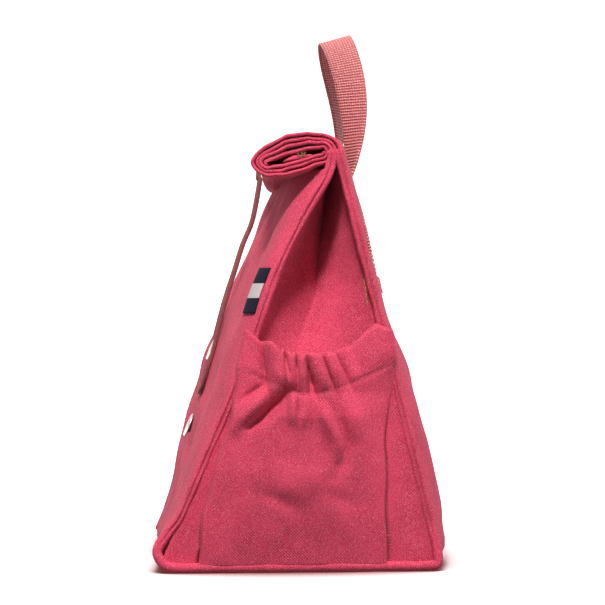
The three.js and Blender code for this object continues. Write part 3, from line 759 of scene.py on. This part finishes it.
def fold_height(y, z, points, width, height):
    """A soft ridge or groove along a line, fading out towards both ends."""
    line = spline(points, 24) + np.array([SHIFT, 0.0])
    d = np.full(y.shape, 1e9)
    share = np.zeros(y.shape)
    for i, (py, pz) in enumerate(line):
        far = (y - py) ** 2 + (z - pz) ** 2
        share = np.where(far < d, i / 23, share)
        d = np.minimum(d, far)
    return height * np.exp(-d / width**2) * (0.35 + 0.65 * np.sin(math.pi * np.clip(share, 0.02, 0.98)))


def tube_height(y, z=HEM_Z):
    """Gathers of the hem, which lean as they go down and fan out below it."""
    drop = np.clip(HEM_Z - z, 0, 60)
    at = (y - SHIFT + 2) / (1 + 0.011 * drop) - 2
    total = np.zeros(at.shape)
    for centre, half, full, slant in TUBES:
        place = (at - centre - slant * np.minimum(drop, 26)) / half
        total = total + full * half * np.clip(1 - place**2, 0, 1) ** 0.6
    return total


def hem_top(y):
    gathered = smooth(-22, -16, y - SHIFT) * smooth(27, 21, y - SHIFT)
    return np.interp(y - SHIFT, HEM_TOP_Y, HEM_TOP) + 0.5 * (tube_height(y) - 2.8) * gathered


def casing_line(y):
    return np.interp(y - SHIFT, CASING_Y, CASING)


def pocket_points(side, seed):
    """The pocket's cloth: a pleat beside each seam, a full middle, and ears over the seams at its hem."""
    v = np.linspace(0, 1, 130)[:, None]
    pleat = np.linspace(0, 1, 8)
    step = np.linspace(0, 1, 7)[1:]
    middle = np.linspace(0, 1, 141)[1:-1]
    zone = np.r_[pleat, 1 + step, 2 + middle, 3 + step[:-1], 4 + pleat][None]
    hem_y = SHIFT + mix(HEM_FRONT_Y, HEM_BACK_Y, np.clip(zone - 2, 0, 1))
    top = hem_top(hem_y) - 5 * np.clip(1 - zone, 0, 1) - 6 * np.clip(zone - 4, 0, 1)
    z = mix(POCKET_LOW, top, v)
    ear = smooth(93, 126, z)
    seam = mix(front_line(z), front_line(z, side * HALF_WIDTH), smooth(35, 70, z))
    a = seam + np.interp(z, FRONT_PLEAT_Z, FRONT_PLEAT)
    b = back_line(z) - np.interp(z, BACK_PLEAT_Z, BACK_PLEAT)
    a = a + 0.5 * np.sin(z / 5.5 + seed) * smooth(110, 90, z)
    b = b + 0.5 * np.sin(z / 6.5 + seed) * smooth(110, 90, z)
    left = np.minimum(seam + 2.4 - 6.0 * ear, a - 1.2 + 2.4 * ear)
    right = np.maximum(back_line(z) - 2.4 + 5.2 * ear, b + 1.2 - 2.0 * ear)
    y = mix(left, a, np.clip(zone, 0, 1))
    y = np.where(zone > 1, a + (zone - 1) * PLEAT_STEP, y)
    y = np.where(zone > 2, mix(a + PLEAT_STEP, b - PLEAT_STEP, zone - 2), y)
    y = np.where(zone > 3, b - PLEAT_STEP + (zone - 3) * PLEAT_STEP, y)
    y = np.where(zone > 4, mix(b, right, zone - 4), y)
    w = np.clip((y - a) / (b - a), 0, 1)
    line = casing_line(y)
    below = np.exp(-np.clip(line - z, 0, None) / 14)
    front_edge = np.interp(z, FRONT_EDGE_Z, FRONT_EDGE)
    back_edge = np.interp(z, BACK_EDGE_Z, BACK_EDGE)
    edges = mix(front_edge, back_edge, smooth(0.2, 0.8, w))
    height = mix(edges, np.interp(z, MIDDLE_Z, MIDDLE), np.sin(math.pi * w) ** 0.7)
    gather = smooth(-24, -17, y - SHIFT) * smooth(34, 24, y - SHIFT)
    pinch = np.where(z > line, 0.6 + 0.4 * smooth(0, 7, z - line), 0.6 * below)
    height = height + TUBE_FULL * (tube_height(y, z) - 3.6) * gather * pinch
    for points, width, amount in FOLDS:
        height = height + FOLD_FULL * fold_height(y, z, points, width, amount)
    height = height - 0.8 * bell(z, line, 1.3) * smooth(0, 0.1, w) * smooth(1, 0.9, w)
    rough = 0.45 * lumps(y, z, 38, seed) + 0.2 * lumps(y, z, 12, seed + 1)
    height = height + rough * np.sin(math.pi * w)
    lip = np.clip(1 - (top - z) / 2.4, 0, 1)
    height = height - 2.2 * (1 - np.sqrt(1 - lip**2)) * smooth(0, 0.08, w) * smooth(1, 0.92, w)
    share = np.clip(np.where(zone < 2.5, zone, 5 - zone), 0, 1)
    pleat_height = mix(0.9 + 0.5 * share, mix(-2.2, 3.4, share), ear)
    rise = smooth(0, 1, np.where(zone < 2.5, zone - 1, 4 - zone))
    height = mix(pleat_height, np.maximum(height, 0.8), rise)
    grid = together(side * (HALF_WIDTH + POCKET_OUT + height), y, z)
    under = []
    for drop, keep in UNDER_ROWS:
        row = grid[0].copy()
        row[:, 2] -= drop
        row[:, 0] = side * (HALF_WIDTH + POCKET_OUT + np.maximum(height[0] * keep, 0.3))
        under.append(row)
    return np.vstack([np.array(under), grid])


def pocket(side, seed):
    name = SIDE_NAMES[side]
    grid = pocket_points(side, seed)
    obj = slab(f"{name}_pocket_cloth", grid[:, ::side], POCKET_CLOTH, canvas)
    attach(obj, "bag")
    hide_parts(f"{name}_side_pocket")
    return obj, grid


pockets = [(side, *pocket(side, seed)) for side, seed in ((1, 31), (-1, 41))]


# Webbing handle and its sewn ends
def ribs(distance):
    return 0.88 + 0.12 * np.sin(TURN * distance / RIB_PITCH)


HANDLE_FOOT_Z = 218.9
HANDLE_FOOT_Y = float(back_y(HANDLE_X, HANDLE_FOOT_Z)) + 1.2
HANDLE_CREST_Y = SHIFT + 28.2
HANDLE_TOP_Z = 302.0
HANDLE_BOW = 3.5
HANDLE_LEAN = math.radians(16)
strap_across = np.linspace(-WEB_WIDTH / 2, WEB_WIDTH / 2, 11)


def handle_points():
    share = np.linspace(0, 1, 900)[:, None]
    rise = np.sin(math.pi * share) ** 0.85
    centre_y = mix(HANDLE_FOOT_Y, HANDLE_CREST_Y, rise**2) + HANDLE_BOW * np.sin(math.pi * rise)
    centre_z = mix(HANDLE_FOOT_Z, HANDLE_TOP_Z, rise)
    centre = np.stack([HANDLE_X * np.cos(math.pi * share), centre_y, centre_z], -1)
    flip = np.where(share < 0.5, 1, -1)
    turn = math.radians(90) * rise ** np.where(share < 0.5, 0.85, 1.5)
    lean = HANDLE_LEAN * smooth(0.5, 1.0, rise)
    reach = np.sin(turn)
    width_way = np.stack([flip * np.cos(turn), reach * np.cos(lean), reach * np.sin(lean)], -1)
    return centre + unit(width_way) * strap_across[None, :, None]


handle_grid = handle_points()
handle_way = np.r_[0, np.cumsum(np.linalg.norm(np.diff(handle_grid[:, 5], axis=0), axis=1))]
handle_weave = together(strap_across[None], handle_way[:, None])
handle = slab("handle_strap", handle_grid, WEB_THICK * ribs(handle_way)[:, None], webbing, handle_weave)
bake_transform(handle)
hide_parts("handle_webbing")


def back_strap(name, low, high, left, right, thick, doubled, node):
    """Webbing sewn flat on the back panel, folded double up to the level named."""
    z = np.linspace(low, high, int((high - low) / 0.35))[:, None]
    x = np.linspace(left, right, 11)[None]
    folded = smooth(doubled + 1.5, doubled - 1.0, z)
    full = thick * (1 + 0.8 * folded) * ribs(z)
    proud = 0.2 + 0.5 * thick * (1 + 0.8 * folded)
    grid = together(x, back_y(x, z) + proud / BACK_COS, z)
    weave = together(x, z)
    obj = slab(name, grid[:, ::-1], np.broadcast_to(full, grid.shape[:2]), webbing, weave[:, ::-1])
    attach(obj, "bag")
    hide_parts(node)


def on_back(points, proud):
    p = np.asarray(points, float)
    return np.stack([p[:, 0], back_y(p[:, 0], p[:, 1]) + proud, p[:, 1]], 1)


back_out = np.array([0.0, BACK_COS, BACK_SIN])
strap_lines = []
END_Z = (152, 219.6)
END_THICK = 1.7
END_FOLD_Z = 161
BOX_INSET = 2.4
BOX_LOW_Z = 164
BOX_HIGH_Z = 184
BAR_Z = 156
for side, name in SIDE_NAMES.items():
    left, right = side * HANDLE_X - WEB_WIDTH / 2, side * HANDLE_X + WEB_WIDTH / 2
    back_strap(f"{name}_handle_end_strap", *END_Z, left, right, END_THICK, END_FOLD_Z, f"{name}_handle_end")
    inner, outer = left + BOX_INSET, right - BOX_INSET
    box = [(inner, BOX_LOW_Z), (outer, BOX_LOW_Z), (outer, BOX_HIGH_Z), (inner, BOX_HIGH_Z)]
    bar = [(inner, BAR_Z), (outer, BAR_Z)]
    for line in (box + box[:1], [box[0], box[2]], [box[1], box[3]], bar):
        path = np.vstack([resample(on_back([a, b], 1.75), 12) for a, b in zip(line, line[1:])])
        strap_lines.append((path, back_out))
TAB_Z = (196.6, 218.9)
TAB_HALF = 11
TAB_THICK = 2.6
TAB_FOLD_Z = 180
back_strap("cord_tab_strap", *TAB_Z, -TAB_HALF, TAB_HALF, TAB_THICK, TAB_FOLD_Z, "cord_tab")
for level in (199.5, 214.0):
    strap_lines.append((resample(on_back([(-9, level), (9, level)], 2.9), 20), back_out))
strap_stitches = stitches("strap_stitches", strap_lines, *STRAP_STITCH, thread)
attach(strap_stitches, "bag")


# The braided cord loop, over the roll and round the upper button
CORD_CLEAR = CORD_RADIUS + 0.35
CORD_ROOT_X = 5.0
CORD_ROOT_Z = 219.4
CORD_ROOT_Y = float(back_y(CORD_ROOT_X, CORD_ROOT_Z)) + 1.9
CORD_OVER_X = 5.2
BRAID_LENGTH = 5.0
BRAID_DIP = 0.22
BRAID_RISE = 0.28
over_turns = np.linspace(0.12, 1.10 * math.pi, 16)
over_roll = roll_point(np.full(over_turns.shape, CORD_OVER_X), over_turns, -CORD_CLEAR)
climb = np.array([(CORD_ROOT_X, 0.0, CORD_ROOT_Z), (5.0, 0.5, 223.5), (5.1, -0.4, 229.0)])
climb = climb + [0.0, CORD_ROOT_Y, 0.0]
fall_x = np.array([5.9, 6.9, 8.0, 10.2, 12.0, 11.0, 7.6, 3.2])
fall_z = np.array([196.0, 181.0, 166.0, 146.0, 119.0, 107.0, 98.5, 94.6])
hang = np.array([8.4, 7.6, 6.2, 3.9, 1.6, 1.45, 1.5, 1.5])
fall = np.stack([fall_x, front_y(fall_x, fall_z) - hang, fall_z], 1)
half_route = np.vstack([climb, over_roll, fall])
route = np.vstack([half_route, half_route[::-1] * np.array([-1, 1, 1])])
cord_path = spline(route, 1100)
cord_way = along(cord_path)
cord_side = unit(np.cross(cord_way, [1.0, 0.02, 0.01]))
cord_up = np.cross(cord_way, cord_side)
cord_angle = circle(16)[None]
cord_s = np.linspace(0, length_of(cord_path), len(cord_path))[:, None]
lay = TURN * cord_s / BRAID_LENGTH
braid = np.abs(np.sin(3 * cord_angle + lay)) * 0.5 + np.abs(np.sin(3 * cord_angle - lay)) * 0.5
cord_size = CORD_RADIUS - BRAID_DIP + BRAID_RISE * braid
spoke = np.cos(cord_angle)[..., None] * cord_side[:, None]
spoke = spoke + np.sin(cord_angle)[..., None] * cord_up[:, None]
cord = sweep("closure_cord_braid", cord_path[:, None] + cord_size[..., None] * spoke, cord_cloth)
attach(cord, "cord")
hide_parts("closure_cord")


# Metal buttons with a washer behind each, and the striped label
front_out = np.array([0.0, -FRONT_COS, FRONT_SIN])
# Turned shapes as (radius, height) pairs
BUTTON_PROFILE = (
    (0.2, -0.2), (4.0, -0.2), (4.0, 1.0), (6.2, 1.15), (6.85, 1.45), (7.0, 2.0), (6.85, 2.6), (6.3, 3.0),
    (5.7, 3.05), (5.3, 2.85), (4.9, 2.8), (3.2, 3.15), (1.4, 3.32), (0.2, 3.35),
)
WASHER_PROFILE = ((0.2, -0.4), (4.9, -0.4), (4.9, 0.3), (0.2, 0.3))
for name, level in zip(("upper", "lower"), BUTTON_Z):
    foot = np.array([0.0, float(front_y(0.0, level)), level])
    button = lathe(f"{name}_button_cap", BUTTON_PROFILE, foot, front_out, nickel)
    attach(button, "bag")
    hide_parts(f"{name}_button")
    washer_low, washer_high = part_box(f"{name}_button_washer")
    middle = (np.array(washer_low) + np.array(washer_high)) / 2 / MM
    washer = lathe(f"{name}_washer_disc", WASHER_PROFILE, middle, front_out, nickel)
    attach(washer, "bag")
    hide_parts(f"{name}_button_washer")

LABEL_X = (85.5, 98.5)
LABEL_Z = (141, 166)
LABEL_THICK = 0.6
LABEL_PROUD = 0.75
LABEL_CROWN = 0.25
label_x = np.linspace(*LABEL_X, 14)[None]
label_rise = np.linspace(0, 1, 20)[:, None]
label_z = mix(*LABEL_Z, label_rise)
label_y = front_y(label_x, label_z) - LABEL_PROUD - LABEL_CROWN * np.sin(math.pi * label_rise)
label_grid = together(label_x, label_y, label_z)
label = slab("striped_label_ribbon", label_grid, LABEL_THICK, ribbon)
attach(label, "bag")
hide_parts("striped_label")


# A loose thread on the seam, the thread along the pocket hems, and each elastic inside its hem
loose_y = SHIFT + np.array([35.2, 35.9, 36.3, 36.9])
loose_z = np.array([158.0, 155.0, 151.0, 147.0])
loose_line = np.stack([np.full(4, HALF_WIDTH + 3.1), loose_y, loose_z], 1)
loose = stitches("loose_seam_thread", [(loose_line, (1, 0, 0))], *LOOSE_STITCH, olive_thread)
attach(loose, "bag")


# Rows and columns of a pocket's grid that lie over the elastic and the turned-in casing
STITCH_INSET = 12
ELASTIC_ROWS, ELASTIC_COLUMNS = slice(113, 127), slice(16, -16)
CASING_ROWS, CASING_COLUMNS = slice(104, 133), slice(10, -10)
ELASTIC_THICK = 0.9
ELASTIC_IN = 1.5
CASING_THICK = 0.8
CASING_IN = 2.9


def hem_parts(side, grid):
    name = SIDE_NAMES[side]
    picked = []
    first = len(UNDER_ROWS)
    for j in range(STITCH_INSET, grid.shape[1] - STITCH_INSET, 2):
        i = first + int(np.argmin(np.abs(grid[first:, j, 2] - casing_line(grid[first:, j, 1]))))
        picked.append(grid[i, j] + np.array([side * 0.5, 0, 0]))
    row = stitches(f"{name}_hem_stitches", [(np.array(picked), (side, 0, 0))], *HEM_STITCH, thread)
    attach(row, "bag")
    band = grid[ELASTIC_ROWS, ELASTIC_COLUMNS].copy()
    band[..., 0] -= side * ELASTIC_IN
    rubber = slab(f"{name}_hem_elastic", band[:, ::side], ELASTIC_THICK, elastic)
    turned = grid[CASING_ROWS, CASING_COLUMNS].copy()
    turned[..., 0] -= side * (CASING_IN - 2.0 * smooth(22, 28, np.arange(len(turned))))[:, None]
    casing = slab(f"{name}_hem_casing", turned[:, ::side], CASING_THICK, canvas)
    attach(casing, "bag")
    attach(rubber, "bag")
    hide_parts(f"{name}_pocket_elastic")
    flat, area = cut_of(grid)


for side, pocket_cloth, pocket_grid in pockets:
    hem_parts(side, pocket_grid)


# Padding and lining inside the bag
PAD = 3.5
PAD_DEPTH = 2.0 + PAD / 2
LINING = 0.6
LINING_AT = 6.6
BASE_PAD_Z = 3.9
BASE_LINING_Z = 6.5
SIDE_PAD_IN = 4.0
SIDE_LINING_IN = 6.9
pad_x = np.linspace(-HALF_WIDTH + 9, HALF_WIDTH - 9, 40)[None]
lined_x = np.linspace(-HALF_WIDTH + 8, HALF_WIDTH - 8, 40)[None]
wall_z = np.linspace(9, 195, 60)[:, None]
pinched = np.clip(18 / (back_line(wall_z) - front_line(wall_z)), 0, 1) ** 0.8
wall_x = np.linspace(-1, 1, 40)[None] * (HALF_WIDTH - 8.5 - fold_depth(wall_z) * pinched)
foot_depth = 4.5 * smooth(32, 9, wall_z)


def inside(name, grid, thickness, material, node):
    obj = slab(name, grid, thickness, material)
    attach(obj, "bag")
    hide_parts(node)


front_pad = together(wall_x, front_y(wall_x, wall_z, PAD_DEPTH), wall_z)
inside("front_padding", front_pad, PAD, foam, "front_foam")
back_pad = together(wall_x, back_y(wall_x, wall_z, PAD_DEPTH + foot_depth), wall_z)
inside("back_padding", back_pad, PAD, foam, "back_foam")
front_cover = together(wall_x, front_y(wall_x, wall_z, LINING_AT), wall_z)
inside("front_lining_cloth", front_cover, LINING, lining, "front_lining")
back_cover = together(wall_x, back_y(wall_x, wall_z, LINING_AT + foot_depth), wall_z)
inside("back_lining_cloth", back_cover, LINING, lining, "back_lining")
floor_y = np.linspace(BASE_FRONT_Y + 10, BASE_BACK_Y - 10, 40)[:, None]
inside("base_padding", together(pad_x, floor_y, BASE_PAD_Z), PAD, foam, "base_foam")
base_cover = together(lined_x, floor_y * 0.97, BASE_LINING_Z)
inside("base_lining_cloth", base_cover, LINING, lining, "base_lining")
side_z = np.linspace(8, 107, 30)[:, None]
side_share = np.linspace(0, 1, 30)[None]
side_y = mix(front_line(side_z) + 9, back_line(side_z) - 9, side_share)
lined_y = mix(front_line(side_z) + 11, back_line(side_z) - 11, side_share)
for side, name in SIDE_NAMES.items():
    pad = together(side * (HALF_WIDTH - SIDE_PAD_IN), side_y, side_z)
    inside(f"{name}_side_padding", pad, PAD, foam, f"{name}_side_foam")
    cover = together(side * (HALF_WIDTH - SIDE_LINING_IN), lined_y, side_z)
    inside(f"{name}_side_lining_cloth", cover, LINING, lining, f"{name}_side_lining")


# White studio in metres: floor, card, wall, ring round it all, lights and the photo's camera
# The floor's painted contact shadow: how far it reaches, its dark red end and its pale end
SHADE_REACH = 0.065
SHADE_DARK = (0.12, 0.012, 0.012)
SHADE_PALE = (0.95, 0.93, 0.93)
RING_RADIUS = 4.6
RING_REACH = 4.0
RING_SIDES = 64
LIGHT_AIM = (0.0, 0.0, 0.13)


def studio_white(name, glow):
    material, _, bsdf = shader(name, (0.93, 0.93, 0.93), 0.9)
    bsdf.inputs["Emission Color"].default_value = (1, 1, 1, 1)
    bsdf.inputs["Emission Strength"].default_value = glow
    return material


def contact_shade(material):
    """Painted shadow: darkens a surface's colour and glow where the bag stands close above it, and reddens
    it there as painted light bounced off the bag.
    """
    tree = material.node_tree
    open_share = add(tree, "ShaderNodeAmbientOcclusion", {"Distance": SHADE_REACH}).outputs["AO"]
    colour = blend_colour(tree, ramp(tree, open_share, 0.42, 0.98), SHADE_DARK, SHADE_PALE)
    for socket in ("Base Color", "Emission Color"):
        tree.links.new(colour, tree.nodes["Principled BSDF"].inputs[socket])


def studio_plane(name, corners, glow):
    return build(name, np.array(corners) / MM, [[0, 1, 2, 3]], studio_white(name, glow))


floor = studio_plane("studio_floor", [(-2.7, -3, 0), (3, -3, 0), (3, 3, 0), (-2.7, 3, 0)], 0.8)
# A painted shadow, reddened as painted bounce light, round the bag's foot on the floor
contact_shade(floor.active_material)
floor.visible_diffuse = False
card_corners = [(-1, -2.6, 0.2), (2.4, -2.6, 0.2), (2.4, -2.6, 2.2), (-1, -2.6, 2.2)]
card = studio_plane("studio_card", card_corners, 0.8)
card.visible_diffuse = False
wall = studio_plane("studio_wall", [(-3, -4, -1), (-3, 4, -1), (-3, 4, 4), (-3, -4, 4)], 1.0)
ring_angle = circle(RING_SIDES)
ring_foot = together(np.cos(ring_angle), np.sin(ring_angle), 0.0) * RING_RADIUS
ring_points = np.vstack([ring_foot - [0, 0, RING_REACH], ring_foot + [0, 0, RING_REACH]])
ring_next = [(i + 1) % RING_SIDES for i in range(RING_SIDES)]
ring_faces = [[i, j, RING_SIDES + j, RING_SIDES + i] for i, j in enumerate(ring_next)]
ring = build("studio_ring", ring_points / MM, ring_faces, studio_white("studio_ring", 1.0))
ring.visible_diffuse = False
ring.visible_glossy = False


def area_light(name, place, size, power):
    data = bpy.data.lights.new(name, "AREA")
    data.shape = "DISK"
    data.size = size
    data.energy = power
    light = bpy.data.objects.new(name, data)
    light.location = place
    aim = np.array(LIGHT_AIM) - np.array(place)
    light.rotation_euler = Vector(aim.tolist()).to_track_quat("-Z", "Y").to_euler()
    scene.collection.objects.link(light)
    return light


key = area_light("key_light", (1.08, -0.2, 1.44), 0.32, 40.0)
fill_light = area_light("fill_light", (0.4, 1.4, 0.6), 0.9, 6.5)
top = area_light("top_light", (0.3, 0.1, 1.7), 0.7, 6.0)
world = bpy.data.worlds.new("studio_world")
world.use_nodes = True
world.node_tree.nodes["Background"].inputs["Color"].default_value = (1, 1, 1, 1)
world.node_tree.nodes["Background"].inputs["Strength"].default_value = 0.3
scene.world = world

CAMERA_AZIMUTH = math.radians(85.5)
CAMERA_DISTANCE = 1.3
CAMERA_TARGET = np.array([0.0007, SHIFT * MM + 0.0095, 0.147])
CAMERA_LENS = 130.7
CAMERA_SENSOR = 36.0
CAMERA_REACH = 20.0
camera_data = bpy.data.cameras.new("photo_camera")
camera_data.lens = CAMERA_LENS
camera_data.sensor_width = CAMERA_SENSOR
camera_data.clip_end = CAMERA_REACH
camera = bpy.data.objects.new("photo_camera", camera_data)
towards = np.array([math.sin(CAMERA_AZIMUTH), -math.cos(CAMERA_AZIMUTH), 0.0])
camera.location = CAMERA_TARGET + CAMERA_DISTANCE * towards
camera.rotation_euler = Vector((-towards).tolist()).to_track_quat("-Z", "Y").to_euler()
scene.collection.objects.link(camera)
scene.camera = camera
scene.view_settings.view_transform = "Standard"
scene.view_settings.look = "None"
